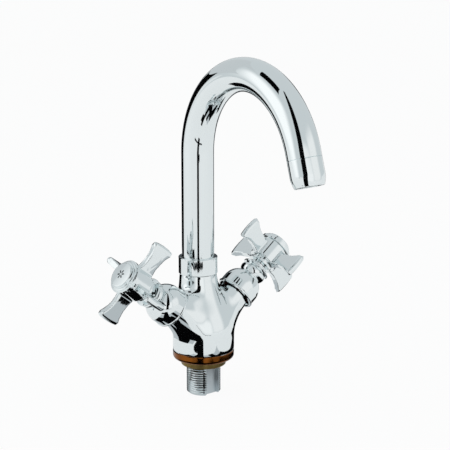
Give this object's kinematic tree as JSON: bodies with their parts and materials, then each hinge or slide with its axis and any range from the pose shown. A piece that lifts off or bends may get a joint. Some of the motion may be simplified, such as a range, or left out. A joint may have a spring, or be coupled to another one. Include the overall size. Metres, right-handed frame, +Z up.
{
  "type": "kitchen mixer tap",
  "caption": "Deck-mounted kitchen mixer tap with a swivelling swan-neck spout, raised valve arms with cross handles, and a threaded fixing shank.",
  "frame": {"origin": "on the axis of the fixing shank, in the plane of the worktop, which is the underside of the brass base ring", "axes": "+Z up along the shank, -Y to the front where the spout points, +X to the hot handle, on the right seen from the front"},
  "size_m": [0.1821, 0.1766, 0.2676],
  "materials": {
    "chrome_plate": "mirror polished chrome plate on brass",
    "polished_brass": "polished bare brass",
    "dull_brass": "as-machined bare brass, dull",
    "turned_brass": "turned brass",
    "stainless_steel": "turned stainless steel",
    "black_rubber": "moulded rubber",
    "red_fibre": "pressed fibre",
    "white_acetal": "moulded white acetal"
  },
  "bodies": {
    "fixed": {"body_casting": "chrome_plate", "base_ring": "polished_brass", "locating_ring": "dull_brass", "mounting_shank": "chrome_plate", "shank_seal": "black_rubber", "port_seals": "black_rubber", "spout_collar": "chrome_plate", "hot_valve_seat": "stainless_steel", "hot_headwork": "chrome_plate", "hot_headwork_washer": "red_fibre", "hot_gland_packing": "white_acetal", "hot_gland_nut": "chrome_plate", "hot_shroud": "chrome_plate", "cold_valve_seat": "stainless_steel", "cold_headwork": "chrome_plate", "cold_headwork_washer": "red_fibre", "cold_gland_packing": "white_acetal", "cold_gland_nut": "chrome_plate", "cold_shroud": "chrome_plate"},
    "spout": {"spout_tube": "chrome_plate", "spout_ferrule": "turned_brass", "spout_seals": "black_rubber", "outlet_nozzle": "turned_brass", "aerator_housing": "chrome_plate", "aerator_washer": "black_rubber", "aerator_cartridge": "white_acetal", "flow_screen": "white_acetal"},
    "hot_stopper": {"hot_jumper": "turned_brass", "hot_jumper_washer": "black_rubber", "hot_jumper_nut": "turned_brass"},
    "hot_control": {"hot_spindle": "chrome_plate", "hot_handle": "chrome_plate", "hot_handle_screw": "stainless_steel", "hot_index_cap": "chrome_plate"},
    "cold_stopper": {"cold_jumper": "turned_brass", "cold_jumper_washer": "black_rubber", "cold_jumper_nut": "turned_brass"},
    "cold_control": {"cold_spindle": "chrome_plate", "cold_handle": "chrome_plate", "cold_handle_screw": "stainless_steel", "cold_index_cap": "chrome_plate"}
  },
  "joints": [
    {"name": "spout_swivel", "type": "hinge", "parent": "fixed", "child": "spout", "pos_m": [0, 0.0064, 0.0776], "axis": [0, 0, 1], "continuous": true},
    {"name": "hot_rise", "type": "slide", "parent": "fixed", "child": "hot_stopper", "axis": [0.8007, 0, 0.599], "range_m": [0, 0.0035]},
    {"name": "hot_turn", "type": "hinge", "parent": "hot_stopper", "child": "hot_control", "pos_m": [0, 0, 0.02215], "axis": [0.8007, 0, 0.599], "range_deg": [0, 630]},
    {"name": "cold_rise", "type": "slide", "parent": "fixed", "child": "cold_stopper", "axis": [-0.8007, 0, 0.599], "range_m": [0, 0.0035]},
    {"name": "cold_turn", "type": "hinge", "parent": "cold_stopper", "child": "cold_control", "pos_m": [0, 0, 0.02215], "axis": [-0.8007, 0, 0.599], "range_deg": [0, 630]}
  ],
  "couplings": [
    {"joint": "hot_turn", "follows": "hot_rise", "rad_per_m": 3141.6},
    {"joint": "cold_turn", "follows": "cold_rise", "rad_per_m": 3141.6}
  ]
}
